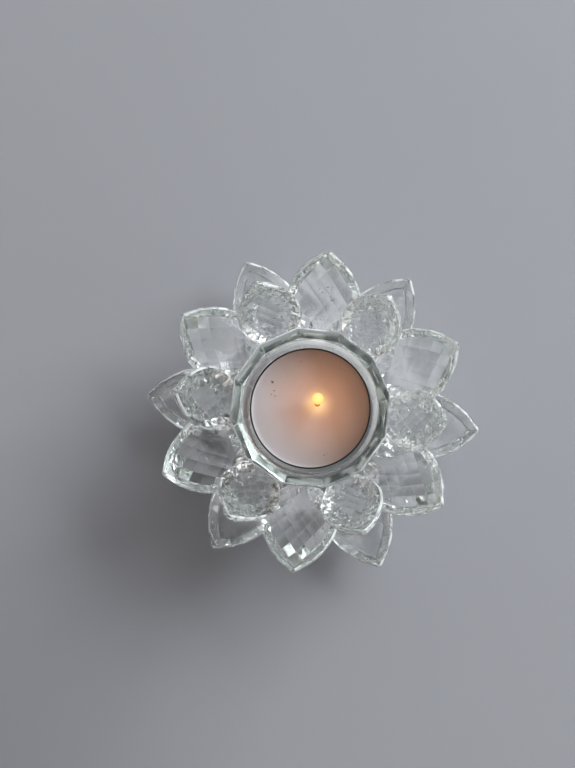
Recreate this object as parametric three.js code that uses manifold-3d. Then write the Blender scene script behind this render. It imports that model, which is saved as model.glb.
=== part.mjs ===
// Lotus candle holder: eighteen cut-glass petals in three rings, bonded to the flats of a
// twelve-sided glass cup, with a tealight that lifts out of the cup.
// Millimetres, +Z up. The origin is the middle of the cup's underside. The lower and inner rings
// have petals at 0, 60, ... degrees from +X, and the middle ring has its petals between them.

import * as THREE from "three";
import { ConvexGeometry } from "three/addons/geometries/ConvexGeometry.js";
import { ConvexHull } from "three/addons/math/ConvexHull.js";
import { mergeVertices } from "three/addons/utils/BufferGeometryUtils.js";
import Module from "manifold-3d";

const wasm = await Module();
wasm.setup();

// Cup
const sideCount = 12;
const cupAcrossFlats = 49;
const cupHeight = 50;
const rimBevel = 0.3;
const baseBevel = 2.4;
const recessDepth = 22;
const recessRadius = 21; // at the rim
const recessTaper = 0.8; // how much narrower the recess is at its floor, on the radius
const recessBevel = 0.4;
const recessSteps = 60;

// Cured adhesive between each petal and its flat
const bondThickness = 0.4;
const bondMargin = 0.6; // how far a bond spreads past the petal's root facet
const bondClearance = 0.15; // between a bond and each piece that it holds

// Petals. The length runs from the root's upper edge to the tip, and the shoulder from that edge
// to the widest place. A bevel runs inwards over its width while it drops from the face. A dome
// rises over its reach, which runs from its centre to the tip, the more steeply the higher its
// power.
const petalsPerRing = 6;
const lowerRing = {
  name: "lower",
  startAngle: 0,
  tilt: 14,
  rootTop: 8,
  length: 32.6,
  width: 24.4,
  shoulder: 9.8,
  rootWidth: 11.6,
  thickness: 3.8,
  girdle: 1,
  frontBevel: { width: 0.4, drop: 0.35 },
  backBevel: { width: 3.3, drop: 2.45 },
};
const middleRing = {
  name: "middle",
  startAngle: 30,
  tilt: 37,
  rootTop: 16.8,
  length: 33.2,
  width: 26,
  shoulder: 11.2,
  rootWidth: 11.6,
  thickness: 8.6,
  girdle: 1,
  frontBevel: { width: 0.4, drop: 0.35 },
  backBevel: { width: 0.9, drop: 1.1 },
  dome: { rise: 7, centre: 13, reach: 20.2, power: 2, facetLength: 7, facetWidth: 4.8 },
};
const innerRing = {
  name: "inner",
  startAngle: 0,
  tilt: 60,
  rootTop: 28.5,
  length: 32,
  width: 20.6,
  shoulder: 12.5,
  rootWidth: 11.6,
  thickness: 6.6,
  girdle: 0.9,
  frontBevel: { width: 0.4, drop: 0.35 },
  backBevel: { width: 0.8, drop: 1 },
  dome: { rise: 5.4, centre: 12.5, reach: 19.5, power: 2.6, facetLength: 5.2, facetWidth: 3 },
};
const tipBlunt = 0.5; // the point is ground off this far short
const tipArcSteps = 6;
const shoulderSteps = 3;
const shoulderPower = 1.6;
const cornerTolerance = 0.03; // corners closer than this are one corner

// Tealight
const tealightRadius = 19.1;
const tealightHeight = 16;
const tealightWall = 0.35;
const tealightSteps = 60;
const waxBelowRim = 1;
const waxMeniscus = 0.4;
const waxClearance = 0.1; // between the wax and what it was poured round
const wickPlace = [2.1, 1.8]; // the wick has settled off the tealight's middle
const wickRadius = 0.9;
const wickAboveWax = 6;
const wickLean = [0.1, 1.3]; // how far its burnt end leans
const wickClearance = 0.2;
const tabRadius = 6;
const tabThickness = 0.4;
const neckWall = 0.5;
const neckHeight = 3;
const tabSteps = 24;

const crystal = new THREE.MeshStandardMaterial({ color: 0xe9f0ee, roughness: 0.03 });
const adhesive = new THREE.MeshStandardMaterial({ color: 0xdfe6e2, roughness: 0.2 });
const aluminium = new THREE.MeshStandardMaterial({ color: 0xb9bbbf, roughness: 0.35, metalness: 1 });
const wax = new THREE.MeshStandardMaterial({ color: 0xd9cbc6, roughness: 0.45 });
const tin = new THREE.MeshStandardMaterial({ color: 0x9a9c9f, roughness: 0.4, metalness: 1 });
const cotton = new THREE.MeshStandardMaterial({ color: 0x2a2420, roughness: 0.95 });

// What follows from the driving dimensions
const recessFloor = cupHeight - recessDepth;
const petalSeat = cupAcrossFlats / 2 + bondThickness + 2 * bondClearance;
const tinFloor = recessFloor + tealightWall;
const tabBottom = tinFloor + waxClearance;
const waxSurface = recessFloor + tealightHeight - waxBelowRim;
const wickBore = wickRadius + wickClearance;
const radians = THREE.MathUtils.degToRad;

// A closed geometry as a solid that can be cut.
function solidFrom(geometry) {
  const bare = geometry.clone();
  bare.deleteAttribute("normal");
  bare.deleteAttribute("uv");
  const merged = mergeVertices(bare, 1e-4);
  return new wasm.Manifold(
    new wasm.Mesh({
      numProp: 3,
      vertProperties: merged.getAttribute("position").array,
      triVerts: new Uint32Array(merged.index.array),
    }),
  );
}

function geometryFrom(solid) {
  const mesh = solid.getMesh();
  const geometry = new THREE.BufferGeometry();
  geometry.setAttribute("position", new THREE.BufferAttribute(mesh.vertProperties, 3));
  geometry.setIndex(new THREE.BufferAttribute(mesh.triVerts, 1));
  const flat = geometry.toNonIndexed();
  flat.computeVertexNormals();
  return flat;
}

// A turned body. Each pair in the profile is a radius and a height.
function turned(profile, steps) {
  const points = profile.map(([radius, z]) => new THREE.Vector2(radius, z));
  const geometry = new THREE.LatheGeometry(points, steps);
  geometry.rotateX(Math.PI / 2);
  return geometry;
}

// The twelve-sided block with a flat towards each petal, and a round recess sunk into its top.
function candleCup() {
  const corner = 1 / Math.cos(Math.PI / sideCount);
  const outer = (cupAcrossFlats / 2) * corner;
  const block = turned(
    [
      [0, 0],
      [outer - baseBevel * corner, 0],
      [outer, baseBevel],
      [outer, cupHeight - rimBevel],
      [outer - rimBevel * corner, cupHeight],
      [0, cupHeight],
    ],
    sideCount,
  );
  block.rotateZ(Math.PI / sideCount);
  const mouth = recessRadius + recessBevel;
  const above = cupHeight + recessBevel;
  const recess = turned(
    [
      [0, recessFloor],
      [recessRadius - recessTaper, recessFloor],
      [recessRadius, cupHeight - recessBevel],
      [mouth, cupHeight],
      [mouth, above],
      [0, above],
    ],
    recessSteps,
  );
  return geometryFrom(solidFrom(block).subtract(solidFrom(recess)));
}

// Half the petal's width at a distance from its root: a shoulder that swells to the widest place,
// then an arc that draws in to the tip.
function halfWidth(ring, fromRoot) {
  const half = ring.width / 2;
  if (fromRoot < ring.shoulder) {
    const share = (ring.shoulder - fromRoot) / ring.shoulder;
    return half - (half - ring.rootWidth / 2) * share ** shoulderPower;
  }
  const reach = ring.length - ring.shoulder;
  const radius = (half ** 2 + reach ** 2) / (2 * half);
  return half - radius + Math.sqrt(radius ** 2 - (fromRoot - ring.shoulder) ** 2);
}

// One side of the petal's outline in its own plane, from the root at x = 0 to the tip.
function outline(ring) {
  const places = [];
  for (let i = 0; i < shoulderSteps; i++) {
    places.push((ring.shoulder * i) / shoulderSteps);
  }
  for (let i = 0; i <= tipArcSteps; i++) {
    places.push(ring.shoulder + ((ring.length - tipBlunt - ring.shoulder) * i) / tipArcSteps);
  }
  return places.map((x) => new THREE.Vector2(x, halfWidth(ring, x)));
}

// The facets below are planes, each with a point on it and its outward direction.

// A row of facets along both sides of the outline, at the height z on it. They lean in towards the
// front where lean is positive, and towards the back where it is negative.
function sideRow(points, z, lean) {
  const row = [];
  for (let i = 1; i < points.length; i++) {
    const along = points[i].clone().sub(points[i - 1]).normalize();
    for (const side of [1, -1]) {
      const outward = new THREE.Vector3(-along.y, side * along.x, lean);
      row.push({ point: new THREE.Vector3(points[i].x, side * points[i].y, z), outward });
    }
  }
  return row;
}

// The back as a dome of lozenges round a flat one: the sum of two sets of chords of one curve, one
// set across each diagonal, so that every lozenge is a plane.
function domeFacets(ring) {
  const { rise, centre, reach, power, facetLength, facetWidth } = ring.dome;
  const curveAt = (step) => (rise / 2) * ((Math.abs(step) * facetLength) / reach) ** power;
  const chord = (step) => {
    const start = curveAt(step - 0.5);
    const slope = curveAt(step + 0.5) - start;
    return { slope, height: start - slope * (step - 0.5) };
  };
  const count = Math.ceil(ring.length / facetLength);
  const facets = [];
  for (let i = -count; i <= count; i++) {
    for (let j = -count; j <= count; j++) {
      const first = chord(i);
      const second = chord(j);
      const height = -ring.thickness + first.height + second.height;
      facets.push({
        point: new THREE.Vector3(centre, 0, height),
        outward: new THREE.Vector3(
          (first.slope + second.slope) / facetLength,
          (first.slope - second.slope) / facetWidth,
          -1,
        ),
      });
    }
  }
  return facets;
}

// Every facet of one petal in its own frame: the front face is z = 0, and its back is below.
function petalFacets(ring) {
  const points = outline(ring);
  const tip = points[points.length - 1];
  const tilt = radians(ring.tilt);
  const { frontBevel, backBevel } = ring;
  const girdleTop = -frontBevel.drop;
  const girdleBottom = girdleTop - ring.girdle;
  return [
    { point: new THREE.Vector3(0, 0, 0), outward: new THREE.Vector3(0, 0, 1) },
    { point: new THREE.Vector3(0, 0, -ring.thickness), outward: new THREE.Vector3(0, 0, -1) },
    {
      point: new THREE.Vector3(0, 0, 0),
      outward: new THREE.Vector3(-Math.cos(tilt), 0, Math.sin(tilt)),
    },
    { point: new THREE.Vector3(tip.x, 0, 0), outward: new THREE.Vector3(1, 0, 0) },
    ...sideRow(points, girdleTop, frontBevel.width / frontBevel.drop),
    ...sideRow(points, girdleTop, 0),
    ...sideRow(points, girdleBottom, -backBevel.width / backBevel.drop),
    ...(ring.dome ? domeFacets(ring) : []),
  ];
}

// The solid that stays behind every one of its facets. A facet's pole is its outward direction
// divided by its distance from a point inside, and each face of the hull of all the poles stands
// for a corner of the solid, in the same way.
function groundStone(facets, inside) {
  const poles = facets.map(({ point, outward }) => {
    const direction = outward.clone().normalize();
    return direction.divideScalar(direction.dot(point.clone().sub(inside)));
  });
  const corners = [];
  for (const face of new ConvexHull().setFromPoints(poles).faces) {
    const corner = face.normal.clone().divideScalar(face.constant).add(inside);
    const near = corners.some((other) => other.distanceTo(corner) < cornerTolerance);
    if (!near) corners.push(corner);
  }
  return new ConvexGeometry(corners);
}

// One petal on the +X flat.
function petal(ring) {
  const inside = new THREE.Vector3(ring.shoulder, 0, -ring.thickness / 2);
  const geometry = groundStone(petalFacets(ring), inside);
  geometry.rotateY(-radians(ring.tilt));
  geometry.translate(petalSeat, 0, ring.rootTop);
  return geometry;
}

// How wide and how tall the ground root of a petal is.
function rootFacet(geometry) {
  const position = geometry.getAttribute("position");
  const nearlyOn = 2 * cornerTolerance;
  const facet = { halfAcross: 0, low: Infinity, high: -Infinity };
  for (let i = 0; i < position.count; i++) {
    if (Math.abs(position.getX(i) - petalSeat) > nearlyOn) continue;
    facet.halfAcross = Math.max(facet.halfAcross, Math.abs(position.getY(i)));
    facet.low = Math.min(facet.low, position.getZ(i));
    facet.high = Math.max(facet.high, position.getZ(i));
  }
  return facet;
}

// The pad of adhesive between the cup's flat and a petal's root facet, with its corners drawn in.
function petalBond(petalGeometry) {
  const facet = rootFacet(petalGeometry);
  const across = facet.halfAcross + bondMargin;
  const low = facet.low - bondMargin;
  const high = facet.high + bondMargin;
  const pad = new THREE.Shape();
  pad.moveTo(bondMargin - across, low);
  pad.lineTo(across - bondMargin, low);
  pad.lineTo(across, low + bondMargin);
  pad.lineTo(across, high - bondMargin);
  pad.lineTo(across - bondMargin, high);
  pad.lineTo(bondMargin - across, high);
  pad.lineTo(-across, high - bondMargin);
  pad.lineTo(-across, low + bondMargin);
  const geometry = new THREE.ExtrudeGeometry(pad, { depth: bondThickness, bevelEnabled: false });
  // The pad's own x, y and z become the part's y, z and x.
  geometry.rotateX(Math.PI / 2);
  geometry.rotateZ(Math.PI / 2);
  geometry.translate(petalSeat - bondClearance - bondThickness, 0, 0);
  return geometry;
}

function tealightCup() {
  const top = recessFloor + tealightHeight;
  const inner = tealightRadius - tealightWall;
  return turned(
    [
      [0, recessFloor],
      [tealightRadius, recessFloor],
      [tealightRadius, top],
      [inner, top],
      [inner, tinFloor],
      [0, tinFloor],
    ],
    tealightSteps,
  );
}

// A solid of revolution at the wick's place.
function turnedAtWick(profile) {
  const [x, y] = wickPlace;
  const geometry = turned(profile, tabSteps);
  geometry.translate(x, y, 0);
  return geometry;
}

// The wax fills its tin round the wick and its tab, and climbs a little at the wall.
function tealightWax() {
  const outer = tealightRadius - tealightWall - waxClearance;
  const block = turned(
    [
      [0, tabBottom],
      [outer, tabBottom],
      [outer, waxSurface + waxMeniscus],
      [outer - waxMeniscus, waxSurface],
      [0, waxSurface],
    ],
    tealightSteps,
  );
  const below = tabBottom - waxClearance;
  const tabHollow = tabRadius + waxClearance;
  const tabTop = tabBottom + tabThickness + waxClearance;
  const neckHollow = wickBore + neckWall + waxClearance;
  const neckTop = tabBottom + neckHeight + waxClearance;
  const above = waxSurface + waxMeniscus;
  const hollow = turnedAtWick([
    [0, below],
    [tabHollow, below],
    [tabHollow, tabTop],
    [neckHollow, tabTop],
    [neckHollow, neckTop],
    [wickBore, neckTop],
    [wickBore, above],
    [0, above],
  ]);
  return geometryFrom(solidFrom(block).subtract(solidFrom(hollow)));
}

function wickTab() {
  const neck = wickBore + neckWall;
  return turnedAtWick([
    [wickBore, tabBottom],
    [tabRadius, tabBottom],
    [tabRadius, tabBottom + tabThickness],
    [neck, tabBottom + tabThickness],
    [neck, tabBottom + neckHeight],
    [wickBore, tabBottom + neckHeight],
    [wickBore, tabBottom],
  ]);
}

// The wick stands straight in the wax and leans over where it has burnt.
function wick() {
  const [x, y] = wickPlace;
  const [leanX, leanY] = wickLean;
  const path = new THREE.CatmullRomCurve3([
    new THREE.Vector3(x, y, tabBottom),
    new THREE.Vector3(x, y, (tabBottom + waxSurface) / 2),
    new THREE.Vector3(x, y, waxSurface),
    new THREE.Vector3(x + leanX / 4, y + leanY / 4, waxSurface + wickAboveWax / 2),
    new THREE.Vector3(x + leanX, y + leanY, waxSurface + wickAboveWax),
  ]);
  const section = new THREE.Shape();
  section.absarc(0, 0, wickRadius, 0, 2 * Math.PI);
  return new THREE.ExtrudeGeometry(section, { steps: 16, curveSegments: 5, extrudePath: path });
}

const holder = new THREE.Group();

function add(name, geometry, material, parent = holder) {
  const mesh = new THREE.Mesh(geometry, material.clone());
  mesh.name = name;
  parent.add(mesh);
}

add("candle_cup", candleCup(), crystal);

for (const ring of [lowerRing, middleRing, innerRing]) {
  const petalGeometry = petal(ring);
  const bondGeometry = petalBond(petalGeometry);
  for (let i = 0; i < petalsPerRing; i++) {
    const spoke = new THREE.Group();
    spoke.rotation.z = radians(ring.startAngle + (360 / petalsPerRing) * i);
    holder.add(spoke);
    add(`${ring.name}_petal_${i + 1}`, petalGeometry, crystal, spoke);
    add(`${ring.name}_bond_${i + 1}`, bondGeometry, adhesive, spoke);
  }
}

add("tealight_cup", tealightCup(), aluminium);
add("tealight_wax", tealightWax(), wax);
add("wick_tab", wickTab(), tin);
add("wick", wick(), cotton);

export default holder;
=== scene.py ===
"""Dresses the lotus candle holder in cut glass, wax and flame, and sets it on a pale surface."""

import math
import random

import bmesh
import bpy
from bpy.props import FloatProperty, FloatVectorProperty, PointerProperty
from bpy.types import Operator, Panel, PropertyGroup
from mathutils import Matrix, Vector, noise


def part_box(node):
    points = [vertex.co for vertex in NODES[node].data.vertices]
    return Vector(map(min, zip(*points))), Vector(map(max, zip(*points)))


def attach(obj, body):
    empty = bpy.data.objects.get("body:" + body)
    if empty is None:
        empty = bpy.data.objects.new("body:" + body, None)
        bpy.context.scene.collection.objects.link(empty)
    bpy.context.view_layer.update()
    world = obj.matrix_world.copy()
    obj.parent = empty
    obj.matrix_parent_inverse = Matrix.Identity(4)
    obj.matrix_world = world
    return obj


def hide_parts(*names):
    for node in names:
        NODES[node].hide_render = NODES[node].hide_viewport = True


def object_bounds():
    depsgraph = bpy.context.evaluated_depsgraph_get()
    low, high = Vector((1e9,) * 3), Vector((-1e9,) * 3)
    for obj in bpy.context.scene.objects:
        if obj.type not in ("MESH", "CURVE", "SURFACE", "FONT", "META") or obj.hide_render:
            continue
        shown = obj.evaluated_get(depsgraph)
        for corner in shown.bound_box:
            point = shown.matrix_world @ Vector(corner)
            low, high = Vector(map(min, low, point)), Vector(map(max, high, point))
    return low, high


bl_info = {
    "name": "Lotus Candle Holder",
    "version": (1, 0, 0),
    "blender": (4, 5, 0),
    "location": "3D View > Sidebar > Lotus",
    "description": "Cut-glass lotus holder with a burning tealight, on a pale surface",
    "category": "Object",
}

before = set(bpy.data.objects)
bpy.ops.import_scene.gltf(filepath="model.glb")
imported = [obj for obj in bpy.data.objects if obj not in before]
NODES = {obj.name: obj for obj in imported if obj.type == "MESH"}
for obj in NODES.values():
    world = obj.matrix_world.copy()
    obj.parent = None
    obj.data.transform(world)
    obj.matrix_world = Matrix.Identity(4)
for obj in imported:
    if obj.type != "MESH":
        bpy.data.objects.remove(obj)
CAD_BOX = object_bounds()
ROWS = ("lower", "middle", "inner")
PETALS_PER_ROW = 6
MM = 0.001
WELD = 0.002 * MM  # corners nearer than this are one corner
FLAT = math.radians(0.3)  # faces that lean less than this make up one facet
GLASS_IOR, ADHESIVE_IOR = 1.52, 1.49
BLACK = (0.0, 0.0, 0.0)


# Sizes and colours that a user would change


class GlassSettings(PropertyGroup):
    tint: FloatVectorProperty(
        name="Tint", description="Colour of the glass at its surface",
        subtype="COLOR", default=(0.97, 0.985, 0.98), min=0, max=1,
    )
    depth_tint: FloatVectorProperty(
        name="Depth tint", description="Colour that thick glass takes on",
        subtype="COLOR", default=(0.62, 0.72, 0.685), min=0, max=1,
    )
    depth_density: FloatProperty(
        name="Depth density", description="How fast thick glass takes on its colour, per metre",
        default=5.0, min=0,
    )
    facet_round: FloatProperty(
        name="Facet rounding", description="Width of the polished edge between two facets",
        subtype="DISTANCE", unit="LENGTH", default=0.06 * MM, min=0,
    )
    edge_round: FloatProperty(
        name="Edge rounding", description="Width of the worn edge round each petal",
        subtype="DISTANCE", unit="LENGTH", default=0.22 * MM, min=0,
    )
    rim_round: FloatProperty(
        name="Cup rounding", description="Width of the polished edges of the cup",
        subtype="DISTANCE", unit="LENGTH", default=0.18 * MM, min=0,
    )
    bubble: FloatProperty(
        name="Bubble", description="Radius of the largest air bubbles in the adhesive",
        subtype="DISTANCE", unit="LENGTH", default=0.16 * MM, min=0,
    )


class CandleSettings(PropertyGroup):
    wax_colour: FloatVectorProperty(
        name="Wax", description="Colour of the wax where it has set",
        subtype="COLOR", default=(0.46, 0.44, 0.45), min=0, max=1,
    )
    # The melted colour also carries painted shade: it darkens the wax on the window's side
    melted_and_shaded_colour: FloatVectorProperty(
        name="Melted wax", description="Colour of the wax where it is melted and clearer",
        subtype="COLOR", default=(0.235, 0.18, 0.155), min=0, max=1,
    )
    glow_colour: FloatVectorProperty(
        name="Glow", description="Colour of the light that the flame sends through the wax",
        subtype="COLOR", default=(0.42, 0.15, 0.045), min=0, max=1,
    )
    flame_colour: FloatVectorProperty(
        name="Flame", description="Colour of the flame",
        subtype="COLOR", default=(1.0, 0.76, 0.18), min=0, max=1,
    )
    flame_width: FloatProperty(
        name="Flame width", description="Widest part of the flame",
        subtype="DISTANCE", unit="LENGTH", default=3.7 * MM, min=0,
    )
    flame_height: FloatProperty(
        name="Flame height", description="Height of the flame from its foot to its tip",
        subtype="DISTANCE", unit="LENGTH", default=8 * MM, min=0,
    )


class StageSettings(PropertyGroup):
    floor_colour: FloatVectorProperty(
        name="Floor", description="Colour of the painted surface",
        subtype="COLOR", default=(0.365, 0.368, 0.392), min=0, max=1,
    )
    window_power: FloatProperty(
        name="Window", description="Power of the large soft lamp, in watts",
        default=61.5, min=0,
    )
    wall_light: FloatVectorProperty(
        name="Wall light",
        description="Light from the room across from the window, and from the window's side",
        size=2, default=(0.16, 0.85), min=0,
    )
    wall_shown: FloatVectorProperty(
        name="Walls in glass", description="How bright glass shows the room's dim and pale sides",
        size=2, default=(0.28, 1.0), min=0,
    )
    highlights: FloatProperty(
        name="Highlights", description="Brightness of the panes that glass shows",
        default=2.0, min=0,
    )
    sill: FloatProperty(
        name="Sill", description="Brightness of the sill that glass shows low on the bright side",
        default=1.4, min=0,
    )
    backdrop: FloatVectorProperty(
        name="Backdrop", description="Colour behind the holder where the floor ends",
        subtype="COLOR", default=(0.42, 0.42, 0.44), min=0, max=1,
    )
    through_glass: FloatProperty(
        name="Through glass", description="How far glass shows the floor without shadow",
        default=0.5, min=0, max=1,
    )
    under_cup: FloatProperty(
        name="Under the cup", description="How far the cup shows the floor without shadow",
        default=0.6, min=0, max=1,
    )
    gathered: FloatProperty(
        name="Gathered light", description="Brightness of the light that the facets gather",
        default=2.15, min=0,
    )
    camera_place: FloatVectorProperty(
        name="Camera", description="Where the camera stands",
        subtype="XYZ", unit="LENGTH", default=(9.95 * MM, -17.17 * MM, 406.3 * MM),
    )


# Shader maths


class Value:
    """A socket whose numbers can be worked on with Python's operators."""

    def __init__(self, finish, socket):
        self.finish, self.socket = finish, socket

    def math(self, operation, first, second=None):
        return self.finish.node("ShaderNodeMath", {"operation": operation}, {0: first, 1: second})

    def __add__(self, other):
        return self.math("ADD", self, other)

    def __radd__(self, other):
        return self.math("ADD", other, self)

    def __sub__(self, other):
        return self.math("SUBTRACT", self, other)

    def __rsub__(self, other):
        return self.math("SUBTRACT", other, self)

    def __mul__(self, other):
        return self.math("MULTIPLY", self, other)

    def __rmul__(self, other):
        return self.math("MULTIPLY", other, self)

    def __pow__(self, other):
        return self.math("POWER", self, other)

    def __rpow__(self, other):
        return self.math("POWER", other, self)


class Finish:
    """The node tree of a material or of the room's light, built node by node."""

    def __init__(self, owner):
        self.owner = owner
        owner.use_nodes = True
        self.tree = owner.node_tree
        self.tree.nodes.clear()

    @classmethod
    def named(cls, name):
        return cls(bpy.data.materials.new(name))

    def node(self, kind, settings=None, inputs=None, output=0):
        """Adds a node, sets it up, then fills or links its sockets. Returns one output."""
        made = self.tree.nodes.new(kind)
        for name, setting in (settings or {}).items():
            if name == "stops":
                self.set_stops(made.color_ramp, setting)
            else:
                setattr(made, name, setting)
        for key, given in (inputs or {}).items():
            if given is None:
                continue
            if isinstance(given, Value):
                self.tree.links.new(given.socket, made.inputs[key])
            else:
                made.inputs[key].default_value = given
        return Value(self, made.outputs[output]) if made.outputs else None

    @staticmethod
    def set_stops(ramp, stops):
        while len(ramp.elements) < len(stops):
            ramp.elements.new(1.0)
        for element, (place, colour) in zip(ramp.elements, stops):
            element.position = place
            element.color = (*colour, 1.0)

    def place(self):
        """The point on the piece, in metres, in the holder's own frame."""
        return self.node("ShaderNodeTexCoord", output="Object")

    def height(self, place=None):
        return self.node("ShaderNodeSeparateXYZ", {}, {0: place or self.place()}, output="Z")

    def noise(self, scale, detail=4.0, roughness=0.55, place=None, stretch=None, shift=None):
        """Cloudy values round 0.5 at a place. A higher scale gives smaller clouds."""
        vector = place or self.place()
        if stretch or shift:
            inputs = {"Vector": vector, "Location": shift, "Scale": stretch}
            vector = self.node("ShaderNodeMapping", {}, inputs)
        return self.node(
            "ShaderNodeTexNoise", {},
            {"Vector": vector, "Scale": scale, "Detail": detail, "Roughness": roughness},
        )

    def ray(self, kind):
        """1 for light that is followed along a ray of this kind, and 0 for the rest."""
        return self.node("ShaderNodeLightPath", output=f"Is {kind} Ray")

    def span(self, value, low, high, to_low=0.0, to_high=1.0, kind="LINEAR"):
        """Carries value from one range to another, clamped at both ends."""
        return self.node(
            "ShaderNodeMapRange", {"clamp": True, "interpolation_type": kind},
            {"Value": value, 1: low, 2: high, 3: to_low, 4: to_high},
        )

    def mix(self, share, first, second):
        """Blends two colours."""
        inputs = {"Factor": share, 6: self.colour(first), 7: self.colour(second)}
        return self.node("ShaderNodeMix", {"data_type": "RGBA"}, inputs, output=2)

    @staticmethod
    def colour(given):
        return given if isinstance(given, Value) else (*given[:3], 1.0)

    def toward(self, direction, axis):
        """How far a direction points along an axis, from -1 to 1."""
        inputs = {0: direction, 1: axis}
        return self.node(
            "ShaderNodeVectorMath", {"operation": "DOT_PRODUCT"}, inputs, output="Value"
        )

    def distance(self, place, point):
        inputs = {0: place, 1: point}
        return self.node("ShaderNodeVectorMath", {"operation": "DISTANCE"}, inputs, output="Value")

    def bump(self, height, distance, strength=1.0):
        inputs = {"Height": height, "Distance": distance, "Strength": strength}
        return self.node("ShaderNodeBump", {}, inputs)

    def surface(self, inputs, volume=None):
        """Finishes the material with a Principled surface, and a volume where one is given."""
        shader = self.principled(inputs)
        self.node("ShaderNodeOutputMaterial", {}, {"Surface": shader, "Volume": volume})
        return self.owner

    def principled(self, inputs):
        filled = {k: self.colour(v) if "Color" in k else v for k, v in inputs.items()}
        return self.node("ShaderNodeBsdfPrincipled", {}, filled)


# Finishes


def cut_glass(name, glass, density, haze):
    """Clear ground and polished glass, with faint ripples and a little handling on it."""
    finish = Finish.named(name)
    ripple = finish.noise(140.0, detail=2.0)
    film = finish.span(finish.noise(420.0, detail=5.0), 0.52, 0.72)
    handled = finish.mix(film * 0.5, glass.tint, (0.93, 0.95, 0.94))
    dusty = finish.span(finish.noise(75.0, detail=1.0), 0.66, 0.70)
    specks = finish.span(finish.noise(1900.0, detail=0.0), 0.62, 0.68) * dusty
    volume = finish.node(
        "ShaderNodeVolumeAbsorption", {},
        {"Color": (*glass.depth_tint, 1.0), "Density": density},
    )
    return finish.surface(
        {
            "Base Color": finish.mix(specks * 0.8, handled, (0.12, 0.11, 0.10)),
            "Roughness": haze + film * 0.02,
            "Transmission Weight": 0.975,
            "IOR": GLASS_IOR,
            "Normal": finish.bump(ripple, 0.02 * MM, 0.35),
        },
        volume,
    )


def worn_edge():
    """The fine edges between facets: polished in some stretches, nicked and bright in others."""
    finish = Finish.named("worn_edge")
    nicks = finish.noise(1800.0, detail=4.0)
    stretches = finish.span(finish.noise(170.0, detail=1.0), 0.42, 0.60)
    polished = finish.principled(
        {
            "Base Color": (0.97, 0.99, 0.98),
            "Roughness": 0.02 + nicks * 0.04,
            "Transmission Weight": 1.0,
            "IOR": GLASS_IOR,
        }
    )
    nicked = finish.principled(
        {
            "Base Color": finish.mix(nicks, (0.97, 1.0, 0.99), (0.82, 0.87, 0.86)),
            "Roughness": 0.12 + nicks * 0.25,
            "Transmission Weight": 0.35,
            "IOR": GLASS_IOR,
            "Normal": finish.bump(nicks, 0.03 * MM, 0.4),
        }
    )
    both = finish.node("ShaderNodeMixShader", {}, {0: stretches, 1: polished, 2: nicked})
    finish.node("ShaderNodeOutputMaterial", {}, {"Surface": both})
    return finish.owner


def ground_glass(radius, lit_from):
    """The bored wall of the recess, left matt, with a glow painted on the window's side for the
    light that the cup gathers in it, and brown painted shade on the far side.
    """
    finish = Finish.named("ground_glass")
    rings = finish.noise(300.0, detail=5.0, stretch=(1.0, 1.0, 5.0))
    side = finish.toward(finish.place(), lit_from)
    # painted light: emission on the window's side of the wall, a glow that stands in for light the
    # cup gathers
    lit = finish.span(side, -0.1 * radius, 0.7 * radius) * (0.8 + rings * 0.4)
    # painted shade: the base colour turns brown and darker on the side away from the window
    dull = finish.span(side, -0.7 * radius, 0.0, 1.0, 0.0)
    ground = finish.mix(rings, (0.97, 0.99, 0.99), (0.88, 0.91, 0.91))
    return finish.surface(
        {
            "Base Color": finish.mix(dull, ground, (0.45, 0.38, 0.34)),
            "Emission Color": finish.mix(lit, BLACK, (0.165, 0.17, 0.17)),
            "Emission Strength": 1.0,
            "Roughness": 0.16 + rings * 0.14,
            "Transmission Weight": 0.94,
            "IOR": GLASS_IOR,
            "Normal": finish.bump(rings, 0.02 * MM, 0.3),
        }
    )


def cured_adhesive():
    """Clear adhesive, a little cloudy."""
    finish = Finish.named("cured_adhesive")
    cloud = finish.noise(900.0)
    return finish.surface(
        {
            "Base Color": finish.mix(cloud, (0.95, 0.97, 0.96), (0.86, 0.90, 0.88)),
            "Roughness": 0.04 + cloud * 0.10,
            "Transmission Weight": 1.0,
            "IOR": ADHESIVE_IOR,
        }
    )


def drawn_aluminium(rim_height):
    """Thin drawn metal with fine rings round it, bright outside, and near black at its rim as
    painted shade.
    """
    finish = Finish.named("drawn_aluminium")
    rings = finish.noise(200.0, detail=6.0, stretch=(1.0, 1.0, 14.0))
    # painted shade: the top of the rolled rim takes the near-black dull colour, a dark line of
    # shade round the wax
    painted_rim_shade = finish.span(finish.height(), rim_height - 0.5 * MM, rim_height - 0.2 * MM)
    bright = finish.mix(rings, (0.40, 0.37, 0.35), (0.55, 0.52, 0.50))
    dull = finish.mix(rings, (0.012, 0.010, 0.010), (0.04, 0.035, 0.035))
    return finish.surface(
        {
            "Base Color": finish.mix(painted_rim_shade, bright, dull),
            "Metallic": 1.0,
            "Roughness": 0.35 + rings * 0.2,
            "Normal": finish.bump(rings, 0.02 * MM, 0.5),
        }
    )


def tinned_steel():
    """Dull grey sheet with a fine grain."""
    finish = Finish.named("tinned_steel")
    grain = finish.noise(1500.0, detail=5.0)
    return finish.surface(
        {
            "Base Color": finish.mix(grain, (0.38, 0.38, 0.39), (0.56, 0.56, 0.57)),
            "Metallic": 1.0,
            "Roughness": 0.3 + grain * 0.25,
            "Normal": finish.bump(grain, 0.02 * MM, 0.4),
        }
    )


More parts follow.
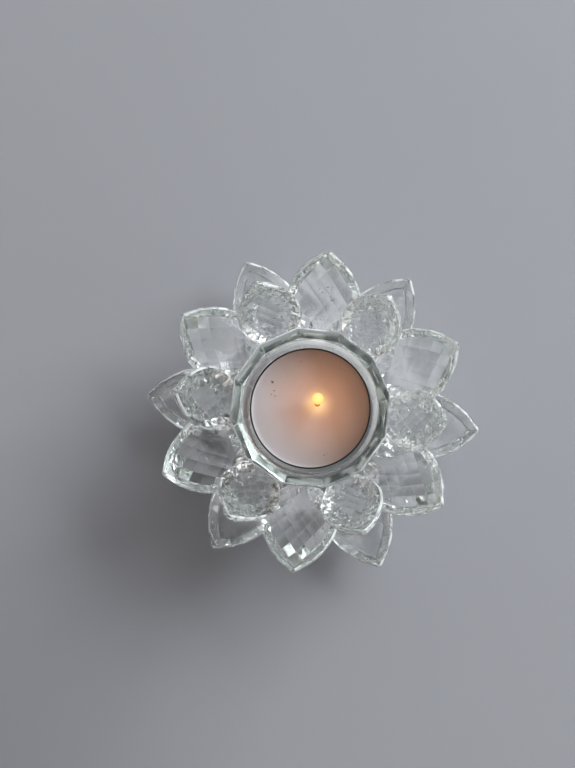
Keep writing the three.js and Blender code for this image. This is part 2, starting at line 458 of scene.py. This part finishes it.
def glowing_wax(candle, flame_at, reach, set_side, set_from, set_to):
    """Wax that is set and white toward one side and melted and darker at the other, the darker
    side partly painted shade, with the flame's light painted on it as a glow.
    """
    finish = Finish.named("glowing_wax")
    place = finish.place()
    away = finish.distance(place, flame_at)
    # painted light: the flame's light on and through the wax is painted in as emission, a bright
    # halo near the flame and a warm glow further out
    painted_flame_halo = (1.0 - finish.span(away, 1.0 * MM, 6.5 * MM)) ** 2.2
    cloud = finish.noise(160.0, detail=3.0)
    grain = finish.noise(1400.0, detail=4.0)
    glow = (1.0 - finish.span(away, 0.0, reach)) ** 1.6 * (1.0 + cloud * 0.3)
    painted_warm_glow = finish.mix(glow, BLACK, candle.glow_colour)
    # painted shade: the wax darkens along one direction toward the window's side, partly for
    # melted wax, which is clearer, and partly as painted shade from the cup's wall
    along = finish.toward(place, set_side) + (cloud - 0.5) * (3.0 * MM)
    set_and_lit = finish.span(along, set_from, set_to)
    wax = finish.mix(set_and_lit, candle.melted_and_shaded_colour, candle.wax_colour)
    wax = finish.mix(grain * 0.12, wax, (0.30, 0.27, 0.27))
    sooty = finish.span(finish.noise(150.0, detail=0.0), 0.69, 0.73)
    soot = finish.span(finish.noise(1500.0, detail=0.0), 0.76, 0.79) * sooty
    return finish.surface(
        {
            "Base Color": finish.mix(soot, wax, (0.05, 0.035, 0.03)),
            "Roughness": 0.30 + set_and_lit * 0.20 + cloud * 0.05,
            "Subsurface Weight": 0.25,
            "Subsurface Scale": 4 * MM,
            "Emission Color": finish.mix(painted_flame_halo, painted_warm_glow, (1.0, 0.60, 0.20)),
            "Emission Strength": 1.0,
            "Normal": finish.bump(cloud + grain * 0.1, 0.15 * MM, 0.3),
        }
    )


def charred_cotton(ember_from, ember_to):
    """Braided cotton, charred black, glowing at its tip, with a dimmer orange glow painted along
    the rest for the flame's light on it.
    """
    finish = Finish.named("charred_cotton")
    fibre = finish.noise(2600.0, detail=5.0)
    ember = finish.span(finish.height(), ember_from, ember_to)
    return finish.surface(
        {
            "Base Color": finish.mix(fibre, (0.015, 0.012, 0.010), (0.07, 0.055, 0.045)),
            "Roughness": 0.85 + fibre * 0.1,
            # painted light: below the ember the whole wick still emits a dim orange, standing for
            # the flame's light on it
            "Emission Color": finish.mix(ember, (0.45, 0.20, 0.07), (1.0, 0.42, 0.08)),
            "Emission Strength": 1.0,
            "Normal": finish.bump(fibre, 0.05 * MM, 0.8),
        }
    )


def burning_gas(candle, low, high):
    """The flame: a dull orange at its foot, then amber, then bright yellow."""
    finish = Finish.named("burning_gas")
    colours = finish.node(
        "ShaderNodeValToRGB",
        {"stops": [
            (0.0, (0.62, 0.25, 0.08)),
            (0.33, (1.0, 0.50, 0.10)),
            (0.5, candle.flame_colour),
            (0.9, (1.0, 0.91, 0.34)),
        ]},
        {0: finish.span(finish.height(), low, high)},
    )
    return finish.surface(
        {
            "Base Color": BLACK,
            "Roughness": 1.0,
            "Emission Color": colours,
            "Emission Strength": 1.05,
        }
    )


def painted_board(stage, cup_radius, lit_from, pale_from, left, right):
    """A flat painted surface, clouded and a little dusty, with a broad shadow painted toward one
    corner.

    Glass shows it with less shadow, and with painted light in patches and streaks for the light
    that the facets gather on it. Left and right point to the two sides of the holder's shadow,
    where the floor is clear of it.
    """
    finish = Finish.named("painted_board")
    place = finish.place()
    colour = tuple(stage.floor_colour)
    # painted shadow: the floor's colour darkens to 0.7 of itself toward one corner, a broad soft
    # shadow painted into the paint
    painted_shadow_colour = tuple(0.70 * c for c in colour)
    clear_of_painted_shadow = finish.span(
        finish.distance(place, (-0.16, -0.20, 0.0)), 0.04, 0.20, kind="SMOOTHSTEP"
    )
    cloud = finish.noise(9.0, detail=3.0)
    dust = finish.span(finish.noise(700.0, detail=6.0), 0.70, 0.76)
    base = finish.mix(cloud * 0.07, finish.mix(clear_of_painted_shadow, painted_shadow_colour, colour), BLACK)
    paint = finish.principled(
        {
            "Base Color": finish.mix(dust * 0.25, base, (0.22, 0.21, 0.21)),
            "Roughness": 0.5 + cloud * 0.2,
            "Specular IOR Level": 0.25,
            "Normal": finish.bump(finish.noise(260.0), 0.1 * MM, 0.15),
        }
    )

    def radii(value, low, high, to_low, to_high):
        return finish.span(value, low * cup_radius, high * cup_radius, to_low, to_high)

    # painted light: seen through glass, the floor shows emission in place of its shaded paint
    away = finish.distance(place, (0.0, 0.0, 0.0))
    under = radii(away, 0.9, 1.1, 1.0, 0.0)
    clear = radii(finish.toward(place, left), 0.95, 1.2, 0.0, 0.6)
    clear = clear + radii(finish.toward(place, right), 1.25, 1.7, 0.0, 0.8)

    # painted light in cloudy patches and streaks, for the light that the facets gather on the
    # floor; under the cup it is painted brighter on one side and darker on the other
    patches = finish.span(finish.noise(95.0, detail=0.0, shift=(0.181, 0.188, 0.02)), 0.42, 0.58)
    painted_caustic_streaks = finish.node(
        "ShaderNodeTexVoronoi", {"feature": "DISTANCE_TO_EDGE"}, {"Vector": place, "Scale": 90.0}
    )
    gathered = patches * 0.75 + finish.span(painted_caustic_streaks, 0.0, 0.10, 0.25, 0.0)
    contrast = (1.0 - clear * 0.3) * radii(finish.toward(place, lit_from), -0.5, 1.0, 1.0, 0.9)
    gathered = 0.5 + (gathered - 0.5) * contrast
    cup_gathered = radii(finish.toward(place, pale_from), -1.0, 1.0, 0.9, 0.05)
    gathered = gathered + under * (cup_gathered - gathered)
    dimmest = tuple(0.22 * c for c in colour)
    brightest = tuple(min(1.0, c * stage.gathered) for c in colour)
    lit = finish.principled(
        {
            "Base Color": BLACK,
            "Specular IOR Level": 0.0,
            "Emission Color": finish.mix(gathered, dimmest, brightest),
            "Emission Strength": 1.0,
        }
    )

    beside = clear * radii(away, 2.05, 2.35, stage.through_glass, 0.0)
    unshadowed = beside + radii(away, 1.5, 2.0, stage.through_glass, 0.0)
    unshadowed = unshadowed + under * (stage.under_cup - unshadowed)
    share = finish.ray("Transmission") * unshadowed
    seen = finish.node("ShaderNodeMixShader", {}, {0: share, 1: paint, 2: lit})
    finish.node("ShaderNodeOutputMaterial", {}, {"Surface": seen})
    return finish.owner


# Meshes


def object_from(name, bm):
    """Puts bm into the scene as an object, and frees it."""
    mesh = bpy.data.meshes.new(name)
    bm.to_mesh(mesh)
    bm.free()
    made = bpy.data.objects.new(name, mesh)
    bpy.context.scene.collection.objects.link(made)
    return made


def smooth(mesh, below):
    """Shades a mesh smooth, except at edges that bend more than an angle."""
    mesh.shade_smooth()
    mesh.set_sharp_from_angle(angle=below)


def piece_from(name, bm, body, node, materials, smooth_below=None):
    """Makes a piece from bm, rides it on a body and lets it stand for a CAD node."""
    piece = object_from(name, bm)
    if smooth_below is not None:
        smooth(piece.data, smooth_below)
    for material in materials:
        piece.data.materials.append(material)
    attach(piece, body)
    if node:
        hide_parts(node)
    return piece


def join_facets(bm):
    """Joins triangles into the flat facets that they make up."""
    bmesh.ops.remove_doubles(bm, verts=bm.verts, dist=WELD)
    bmesh.ops.dissolve_limit(bm, angle_limit=FLAT, verts=bm.verts, edges=bm.edges)


def round_edges(bm, width, segments, sharper_than):
    """Rounds the edges that bend more than an angle, and gives them the second material."""
    edges = [e for e in bm.edges if e.is_manifold and e.calc_face_angle() > sharper_than]
    bmesh.ops.bevel(
        bm, geom=edges, offset=width, segments=segments, profile=0.5, affect="EDGES",
        clamp_overlap=True, material=1,
    )


def grind_small(bm, least_lean, cell, depth, seed):
    """Breaks a petal's steep back facets into lozenges that lean a little apart.

    The chosen faces are marked by their material's number while they are worked on.
    """
    steepest, slant, wave, mark = math.radians(56), (0.82, 0.57), 1.2 * cell, 10
    front = max(bm.faces, key=lambda face: face.calc_area()).normal.copy()
    middle = sum((v.co for v in bm.verts), Vector()) / len(bm.verts)
    away = Vector((middle.x, middle.y, 0.0)).normalized()
    along = (away - front * away.dot(front)).normalized()
    across = front.cross(along)
    for face in bm.faces:
        if least_lean < face.normal.angle(-front) < steepest:
            face.material_index += mark
    for sign in (1, -1):
        toward = (along * slant[0] + across * (slant[1] * sign)).normalized()
        reach = max(abs((v.co - middle).dot(toward)) for v in bm.verts)
        for step in range(-int(reach / cell), int(reach / cell) + 1):
            faces = [f for f in bm.faces if f.material_index >= mark]
            edges = list({edge for f in faces for edge in f.edges})
            verts = list({vertex for f in faces for vertex in f.verts})
            bmesh.ops.bisect_plane(
                bm, geom=faces + edges + verts, dist=WELD,
                plane_co=middle + toward * (step * cell), plane_no=toward,
            )
    for vertex in bm.verts:
        if all(f.material_index >= mark for f in vertex.link_faces):
            vertex.co += front * depth * noise.noise(vertex.co / wave + seed)
    faces = [f for f in bm.faces if f.material_index >= mark]
    for face in bmesh.ops.triangulate(bm, faces=faces)["faces"]:
        face.material_index -= mark


def ring(bm, centre, radius, z, steps):
    """A level circle of corners round a centre, or one corner where it has no size."""
    if radius < 1e-7:
        return [bm.verts.new((*centre, z))]
    angles = (2 * math.pi * i / steps for i in range(steps))
    return [
        bm.verts.new((centre[0] + radius * math.cos(a), centre[1] + radius * math.sin(a), z))
        for a in angles
    ]


def skin(bm, rings, steps):
    """Joins each ring of corners to the next with faces, and turns the faces outwards."""
    for lower, upper in zip(rings, rings[1:]):
        for i in range(steps):
            corners = [lower[i % len(lower)], lower[(i + 1) % len(lower)]]
            corners += [upper[(i + 1) % len(upper)], upper[i % len(upper)]]
            unique = list(dict.fromkeys(corners))
            if len(unique) > 2:
                bm.faces.new(unique)
    bmesh.ops.recalc_face_normals(bm, faces=bm.faces)


def turn(bm, profile, steps, centre=(0.0, 0.0)):
    """Turns a profile of (radius, height) points about an upright axis."""
    skin(bm, [ring(bm, centre, radius, z, steps) for radius, z in profile], steps)


def recess_profile():
    """The CAD recess as (radius, height) points, from the middle of its floor to its mouth."""
    low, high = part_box("candle_cup")
    inside = 0.46 * (high[0] - low[0])
    found = set()
    for vertex in NODES["candle_cup"].data.vertices:
        radius = math.hypot(vertex.co.x, vertex.co.y)
        if MM < radius < inside:
            found.add((round(vertex.co.z, 5), round(radius, 5)))
    levels = {}
    for z, radius in sorted(found):
        levels[z] = max(radius, levels.get(z, 0))
    points = [(radius, z) for z, radius in levels.items()]
    return [(0.0, points[0][1])] + points


# Pieces


class LOTUS_OT_petals(Operator):
    """Cuts the eighteen petals with polished edges between their facets"""

    bl_idname = "lotus.petals"
    bl_label = "Petals"
    haze = 0.004
    outline, ridge = math.radians(32), math.radians(1.5)
    small_facets = {
        "middle": {"least_lean": math.radians(43), "cell": 1.6 * MM, "depth": 0.45 * MM},
        "inner": {"least_lean": math.radians(14), "cell": 1.5 * MM, "depth": 0.6 * MM},
    }

    def execute(self, context):
        glass = context.scene.lotus_glass
        clear = cut_glass("petal_glass", glass, glass.depth_density, self.haze)
        materials = [clear, worn_edge()]
        chance = random.Random(5)
        for row in ROWS:
            for number in range(1, PETALS_PER_ROW + 1):
                node = f"{row}_petal_{number}"
                seed = Vector([chance.uniform(0, 50) for _ in range(3)])
                bm = bmesh.new()
                bm.from_mesh(NODES[node].data)
                join_facets(bm)
                round_edges(bm, glass.edge_round, 2, self.outline)
                round_edges(bm, glass.facet_round, 1, self.ridge)
                if row in self.small_facets:
                    grind_small(bm, seed=seed, **self.small_facets[row])
                bmesh.ops.recalc_face_normals(bm, faces=bm.faces)
                piece_from(f"{row}_petal_cut_{number}", bm, "holder", node, materials)
        return {"FINISHED"}


class LOTUS_OT_cup(Operator):
    """Makes the twelve-sided cup with its smoothly turned recess"""

    bl_idname = "lotus.cup"
    bl_label = "Cup"
    turn_steps = 240
    haze = 0.05
    density_factor = 2.0
    ridge, smooth_below = math.radians(10), math.radians(12)

    def execute(self, context):
        glass = context.scene.lotus_glass
        block = bmesh.new()
        block.from_mesh(NODES["candle_cup"].data)
        hull = bmesh.ops.convex_hull(block, input=block.verts)
        inner = set(hull["geom_interior"]) | set(hull["geom_unused"])
        bmesh.ops.delete(block, geom=[v for v in inner if isinstance(v, bmesh.types.BMVert)])
        join_facets(block)
        round_edges(block, glass.rim_round, 2, self.ridge)
        bmesh.ops.recalc_face_normals(block, faces=block.faces)
        profile = recess_profile()
        radius, top = profile[-1]
        density = glass.depth_density * self.density_factor
        materials = [
            cut_glass("cup_glass", glass, density, self.haze), worn_edge(),
            ground_glass(radius, LOTUS_OT_stage.window_side),
        ]
        cup = piece_from("turned_cup", block, "holder", "candle_cup", materials)

        above = top + 2 * MM
        cutter = bmesh.new()
        turn(cutter, profile + [(radius, above), (0.0, above)], self.turn_steps)
        recess = object_from("recess_cutter", cutter)
        cut = cup.modifiers.new("recess", "BOOLEAN")
        cut.operation, cut.object, cut.solver = "DIFFERENCE", recess, "EXACT"
        depsgraph = context.evaluated_depsgraph_get()
        result = bpy.data.meshes.new_from_object(cup.evaluated_get(depsgraph))
        cup.modifiers.clear()
        cup.data = result
        bpy.data.objects.remove(recess)
        for face in result.polygons:
            out = math.hypot(face.center.x, face.center.y)
            if out < 1.02 * radius and abs(face.normal.z) < 0.5:
                face.material_index = 2
        smooth(result, self.smooth_below)
        if len(result.polygons) < self.turn_steps:
            raise RuntimeError("the recess was not cut")
        return {"FINISHED"}


class LOTUS_OT_bonds(Operator):
    """Squeezes a pad of adhesive out behind each petal's root, with air trapped in it"""

    bl_idname = "lotus.bonds"
    bl_label = "Adhesive"
    around = 56
    # Each layer's place through the pad, and how far its edge is drawn in, in millimetres
    layers = ((-0.30, 0.30), (-0.22, 0.08), (0.0, 0.0), (0.22, 0.08), (0.30, 0.30))
    drawn_in, waviness, squareness = 0.45, 0.8, 0.45
    bubbles, bubble_inset = 9, 1.1 * MM

    def execute(self, context):
        glass = context.scene.lotus_glass
        material = cured_adhesive()
        chance = random.Random(11)
        for row in ROWS:
            for number in range(1, PETALS_PER_ROW + 1):
                node = f"{row}_bond_{number}"
                bm = self.pad(node, glass.bubble, chance)
                piece_from(
                    f"{row}_squeezed_bond_{number}", bm, "holder", node, [material],
                    smooth_below=math.radians(60),
                )
        return {"FINISHED"}

    def pad(self, node, bubble, chance):
        """One pad in the CAD node's place: five wavy layers, and bubbles as hollow balls."""
        low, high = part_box(node)
        azimuth = math.atan2(low[1] + high[1], low[0] + high[0])
        spoke = Matrix.Rotation(azimuth, 4, "Z")
        flat = [spoke.inverted() @ v.co for v in NODES[node].data.vertices]
        middle = (min(v.x for v in flat) + max(v.x for v in flat)) / 2
        half_wide = max(v.y for v in flat)
        half_tall = (high[2] - low[2]) / 2
        z = (high[2] + low[2]) / 2
        waves = [(chance.uniform(0.1, 0.22), chance.uniform(0, 6.3)) for _ in range(4)]
        bm = bmesh.new()
        rings = [[bm.verts.new((middle + self.layers[0][0] * MM, 0, z))]]
        for across, inset in self.layers:
            corners = []
            for i in range(self.around):
                angle = 2 * math.pi * i / self.around
                ripple = sum(
                    size * math.sin((3 * k + 4) * angle + start)
                    for k, (size, start) in enumerate(waves)
                )
                inward = (inset + self.drawn_in + ripple * self.waviness) * MM
                c, s = math.cos(angle), math.sin(angle)
                y = (half_wide - inward) * math.copysign(abs(c) ** self.squareness, c)
                up = (half_tall - inward) * math.copysign(abs(s) ** self.squareness, s)
                corners.append(bm.verts.new((middle + across * MM, y, z + up)))
            rings.append(corners)
        rings.append([bm.verts.new((middle + self.layers[-1][0] * MM, 0, z))])
        skin(bm, rings, self.around)
        for _ in range(self.bubbles):
            size = bubble * chance.uniform(0.4, 1.0)
            y = half_wide * chance.uniform(-0.8, 0.8)
            up = (half_tall - self.bubble_inset) * chance.choice((-1, 1, 1, 1))
            up *= chance.uniform(0.8, 1.0)
            place = Matrix.Translation((middle, y, z + up))
            ball = bmesh.ops.create_icosphere(bm, subdivisions=2, radius=size, matrix=place)
            faces = {face for vertex in ball["verts"] for face in vertex.link_faces}
            bmesh.ops.reverse_faces(bm, faces=list(faces))
        bmesh.ops.transform(bm, matrix=spoke, verts=bm.verts)
        return bm


class LOTUS_OT_tealight(Operator):
    """Makes the tealight's thin metal cup with its rolled rim, and finishes the wick's tab"""

    bl_idname = "lotus.tealight"
    bl_label = "Tealight cup"
    turn_steps = 160
    wall, roll = 0.1 * MM, 0.2 * MM

    def execute(self, context):
        low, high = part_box("tealight_cup")
        radius, bottom, top = (high[0] - low[0]) / 2, low[2], high[2]
        roll = self.roll
        dished, bead, side = bottom + 0.5 * MM, radius - 0.35 * MM, radius - 2 * roll
        profile = [
            (0.0, dished),
            (radius - 4 * MM, dished),
            (radius - 3.2 * MM, bottom),
            (radius - 1.2 * MM, bottom),
            (bead, bottom + 0.6 * MM),
            (bead, bottom + 1.6 * MM),
            (side, bottom + 2.2 * MM),
            (side, top - 2.6 * roll),
        ]
        for degrees in range(-90, 151, 30):
            angle = math.radians(degrees)
            profile.append(
                (radius - roll + roll * math.cos(angle), top - roll + roll * math.sin(angle))
            )
        inner = side - self.wall
        profile += [
            (inner, top - 2 * roll),
            (inner, bottom + 1.2 * MM),
            (0.0, bottom + 1.0 * MM),
        ]
        bm = bmesh.new()
        turn(bm, profile, self.turn_steps)
        piece_from(
            "drawn_tealight_cup", bm, "tealight", "tealight_cup",
            [drawn_aluminium(top)], smooth_below=math.radians(40),
        )
        tab = NODES["wick_tab"]
        tab.data.materials.clear()
        tab.data.materials.append(tinned_steel())
        return {"FINISHED"}


class LOTUS_OT_wax(Operator):
    """Pours the wax round the wick and its tab, with a climb at the wall and at the wick"""

    bl_idname = "lotus.wax"
    bl_label = "Wax"
    around = 160
    rows = 40
    tin_wall, tab_gap = 0.42 * MM, 0.1 * MM
    bore, neck = 1.0 * MM, 1.7 * MM
    climb, up_wall, up_wick = 0.35 * MM, 0.4 * MM, 0.35 * MM
    # The set side points away from the window, so the wax toward the window is painted darker,
    # partly as shade
    set_side, set_from, set_to = (-0.92, -0.39, 0.0), -0.35, 0.74
    glow_reach = 1.35

    def execute(self, context):
        bore, neck, climb = self.bore, self.neck, self.climb
        low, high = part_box("tealight_wax")
        tab_low, tab_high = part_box("wick_tab")
        tin_low, tin_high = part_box("tealight_cup")
        radius = (tin_high[0] - tin_low[0]) / 2 - self.tin_wall
        wick_at = Vector(((tab_low[0] + tab_high[0]) / 2, (tab_low[1] + tab_high[1]) / 2))
        tab_radius = (tab_high[0] - tab_low[0]) / 2 + self.tab_gap
        tab_top, neck_top = tab_low[2] + 0.5 * MM, tab_high[2] + self.tab_gap
        bottom, pool = low[2] + 0.9 * MM, high[2] - 0.4 * MM

        bm = bmesh.new()
        rings = [ring(bm, (0.0, 0.0), radius, z, self.around) for z in (bottom, pool - 2 * MM)]
        for i in range(self.rows + 1):
            share = 0.5 - 0.5 * math.cos(math.pi * (1 - i / self.rows))
            reach = bore + (radius - bore) * share
            rise = climb * math.exp(-(radius - reach) / self.up_wall)
            rise += 0.5 * climb * math.exp(-(reach - bore) / self.up_wick)
            rings.append(ring(bm, wick_at * (1 - share), reach, pool + rise, self.around))
        hollow = (
            (bore, neck_top), (neck, neck_top), (neck, tab_top), (tab_radius, tab_top),
            (tab_radius, bottom),
        )
        rings += [ring(bm, wick_at, reach, z, self.around) for reach, z in hollow]
        skin(bm, rings + [rings[0]], self.around)
        material = glowing_wax(
            context.scene.lotus_candle, (*wick_at, pool), self.glow_reach * radius,
            self.set_side, self.set_from * radius, self.set_to * radius,
        )
        piece_from(
            "poured_wax", bm, "tealight", "tealight_wax", [material],
            smooth_below=math.radians(50),
        )
        return {"FINISHED"}


def wick_path(count):
    """Points up the middle of the CAD wick, each the mean of the corners near its height."""
    low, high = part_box("wick")
    band = 1.2 * MM
    points = []
    for i in range(count):
        z = low[2] + (high[2] - low[2]) * i / (count - 1)
        near = [v.co for v in NODES["wick"].data.vertices if abs(v.co.z - z) < band]
        points.append(sum(near, Vector()) / len(near))
        points[-1].z = z
    return points


class LOTUS_OT_wick(Operator):
    """Braids the wick from three strands, charred where it stands out of the wax"""

    bl_idname = "lotus.wick"
    bl_label = "Wick"
    strands = 3
    sides = 8
    steps = 60
    turns = 5.0
    strand_offset, strand_radius = 0.42, 0.5
    tapers_from, taper_rate = 0.9, 5.0

    def execute(self, context):
        low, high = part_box("wick")
        path = wick_path(self.steps)
        thick = min(high[0] - low[0], high[1] - low[1]) / 2
        offset, strand = self.strand_offset * thick, self.strand_radius * thick
        bm = bmesh.new()
        for strand_number in range(self.strands):
            rings = []
            for i, centre in enumerate(path):
                share = i / (self.steps - 1)
                angle = 2 * math.pi * (strand_number / self.strands + self.turns * share)
                taper = 1.0 - self.taper_rate * max(0.0, share - self.tapers_from)
                middle = centre + Vector((math.cos(angle), math.sin(angle), 0)) * offset * taper
                rings.append(ring(bm, middle.xy, strand * taper, middle.z, self.sides))
                if i in (0, self.steps - 1):
                    rings.insert(min(i, 1) * len(rings), ring(bm, middle.xy, 0, middle.z, 1))
            skin(bm, rings, self.sides)
        material = charred_cotton(high[2] - 3.0 * MM, high[2] - 0.5 * MM)
        piece_from(
            "braided_wick", bm, "tealight", "wick", [material],
            smooth_below=math.radians(60),
        )
        return {"FINISHED"}


class LOTUS_OT_flame(Operator):
    """Lights the wick with a small still flame"""

    bl_idname = "lotus.flame"
    bl_label = "Flame"
    turn_steps = 48
    rows = 24
    path_points = 20
    below_tip = 2.6 * MM
    widest_low, fullness = 0.62, 0.75

    def execute(self, context):
        candle = context.scene.lotus_candle
        tip = wick_path(self.path_points)[-1]
        low = tip.z - self.below_tip
        tall = min(candle.flame_height, CAD_BOX[1][2] - low)
        profile = []
        for i in range(self.rows + 1):
            share = i / self.rows
            swell = math.sin(math.pi * share ** self.widest_low) ** self.fullness
            profile.append((candle.flame_width / 2 * swell, low + tall * share))
        profile[0] = (0.0, low)
        profile[-1] = (0.0, low + tall)
        bm = bmesh.new()
        turn(bm, profile, self.turn_steps, centre=(tip.x, tip.y))
        material = burning_gas(candle, low, low + tall)
        piece_from(
            "flame", bm, "tealight", None, [material], smooth_below=math.radians(60)
        )
        return {"FINISHED"}


class LOTUS_OT_stage(Operator):
    """Lays the pale surface, lights it softly from one side and sets the camera over it"""

    bl_idname = "lotus.stage"
    bl_label = "Stage"
    window_side = (0.731, 0.682, 0.0)
    pale_side = (0.87, -0.49, 0.0)
    sill_side = (0.92, 0.39, 0.0)
    left_of_shadow, right_of_shadow = (-0.50, 0.87, 0.0), (0.70, -0.71, 0.0)
    window_rise, window_away = math.radians(30.0), 2.2
    window_size = (1.7, 1.2)
    board_reach, board_gap = 1.6, 0.03 * MM
    looks = (-0.0493, 0.0661, -0.9966)
    roll = math.radians(6.2)
    focal_length_px, picture_height_px = 1150, 768
    bounces = 32

    def execute(self, context):
        stage = context.scene.lotus_stage
        self.lay_floor(stage)
        self.light_room(context, stage)
        self.hang_lamp(context, stage)
        self.place_camera(context, stage)
        context.scene.view_settings.view_transform = "Standard"
        for kind in ("max_bounces", "glossy_bounces", "transmission_bounces"):
            setattr(context.scene.cycles, kind, self.bounces)
        return {"FINISHED"}

    def lay_floor(self, stage):
        """A board that lies a hair below the holder, so that the two never touch."""
        bm = bmesh.new()
        bmesh.ops.create_grid(bm, x_segments=8, y_segments=8, size=self.board_reach)
        board = object_from("board", bm)
        board.location.z = -self.board_gap
        cup_low, cup_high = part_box("candle_cup")
        radius = (cup_high[0] - cup_low[0]) / 2
        paint = painted_board(
            stage, radius, self.window_side, self.pale_side, self.left_of_shadow,
            self.right_of_shadow,
        )
        board.data.materials.append(paint)

    def light_room(self, context, stage):
        """A plain room, pale on the window's side, that glass shows with lit and dim patches."""
        room = Finish(bpy.data.worlds.new("room"))
        context.scene.world = room.owner
        toward = room.node("ShaderNodeTexCoord", output="Generated")
        side = room.toward(toward, self.window_side)
        height = room.height(toward)
        ceiling = 1.0 - room.span(height, 0.7, 0.95) * 0.5
        plain = room.span(side, -0.5, 0.75, *stage.wall_light) * ceiling

        clutter = room.noise(6.5, detail=2.0, roughness=0.5, place=toward)
        patches = room.span(clutter, 0.475, 0.545, 0.04, 1.85)
        along = room.toward(toward, self.pale_side)
        walls = room.span(along, -0.6, 0.8, *stage.wall_shown) * ceiling * patches
        panes = room.noise(8.5, detail=1.0, roughness=0.4, place=toward, shift=(3.1, 1.7, 0.4))
        high_up = room.span(height, 0.1, 0.2) * (1.0 - room.span(height, 0.86, 0.92))
        bright = room.span(panes, 0.59, 0.61, 0.0, stage.highlights) * high_up
        by_sill = room.span(room.toward(toward, self.sill_side), 0.75, 0.93)
        sill = by_sill * (1.0 - room.span(height, 0.25, 0.45)) * stage.sill
        shown = walls + bright + sill

        inputs = {0: room.ray("Glossy"), 1: room.ray("Transmission")}
        in_glass = room.node("ShaderNodeMath", {"operation": "MAXIMUM"}, inputs)
        level = plain + (shown - plain) * in_glass
        colour = room.mix(room.span(side, -0.4, 0.6), (1.0, 0.93, 0.90), (0.97, 0.98, 1.0))
        around = room.node("ShaderNodeBackground", {}, {"Color": colour, "Strength": level})
        behind = room.node(
            "ShaderNodeBackground", {}, {"Color": (*stage.backdrop, 1.0), "Strength": 1.0}
        )
        inputs = {0: room.ray("Camera"), 1: around, 2: behind}
        light = room.node("ShaderNodeMixShader", {}, inputs)
        room.node("ShaderNodeOutputWorld", {}, {"Surface": light})

    def hang_lamp(self, context, stage):
        """The window: one large soft lamp, turned toward the holder."""
        data = bpy.data.lights.new("window", "AREA")
        data.shape = "RECTANGLE"
        data.size, data.size_y = self.window_size
        data.energy = stage.window_power
        data.color = (0.91, 0.96, 1.0)
        lamp = bpy.data.objects.new("window", data)
        rise = Vector((0, 0, math.sin(self.window_rise)))
        toward = Vector(self.window_side) * math.cos(self.window_rise) + rise
        lamp.location = self.window_away * toward
        lamp.rotation_euler = (-toward).to_track_quat("-Z", "Y").to_euler()
        context.scene.collection.objects.link(lamp)

    def place_camera(self, context, stage):
        """The camera looks almost straight down, a little rolled, as the photograph does."""
        data = bpy.data.cameras.new("overhead")
        data.sensor_width = 36.0
        data.lens = self.focal_length_px / self.picture_height_px * data.sensor_width
        camera = bpy.data.objects.new("overhead", data)
        back = -Vector(self.looks).normalized()
        right = Vector((math.cos(self.roll), math.sin(self.roll), 0))
        right = (right - right.dot(back) * back).normalized()
        turned = Matrix((right, back.cross(right), back)).transposed()
        camera.matrix_world = Matrix.Translation(stage.camera_place) @ turned.to_4x4()
        context.scene.collection.objects.link(camera)
        context.scene.camera = camera


class LOTUS_PT_holder(Panel):
    """The holder's sizes, colours and pieces"""

    bl_idname = "LOTUS_PT_holder"
    bl_label = "Lotus candle holder"
    bl_space_type = "VIEW_3D"
    bl_region_type = "UI"
    bl_category = "Lotus"

    def draw(self, context):
        for group in (context.scene.lotus_glass, context.scene.lotus_candle,
                      context.scene.lotus_stage):
            box = self.layout.box()
            for name in group.__annotations__:
                box.prop(group, name)
        for operator in OPERATORS:
            self.layout.operator(operator.bl_idname)


OPERATORS = (
    LOTUS_OT_petals,
    LOTUS_OT_cup,
    LOTUS_OT_bonds,
    LOTUS_OT_tealight,
    LOTUS_OT_wax,
    LOTUS_OT_wick,
    LOTUS_OT_flame,
    LOTUS_OT_stage,
)
CLASSES = (GlassSettings, CandleSettings, StageSettings, *OPERATORS, LOTUS_PT_holder)


def register():
    for cls in CLASSES:
        bpy.utils.register_class(cls)
    bpy.types.Scene.lotus_glass = PointerProperty(type=GlassSettings)
    bpy.types.Scene.lotus_candle = PointerProperty(type=CandleSettings)
    bpy.types.Scene.lotus_stage = PointerProperty(type=StageSettings)


def unregister():
    del bpy.types.Scene.lotus_glass
    del bpy.types.Scene.lotus_candle
    del bpy.types.Scene.lotus_stage
    for cls in reversed(CLASSES):
        bpy.utils.unregister_class(cls)


def main():
    register()
    for operator in OPERATORS:
        group, name = operator.bl_idname.split(".")
        getattr(getattr(bpy.ops, group), name)()


if __name__ == "__main__":
    main()
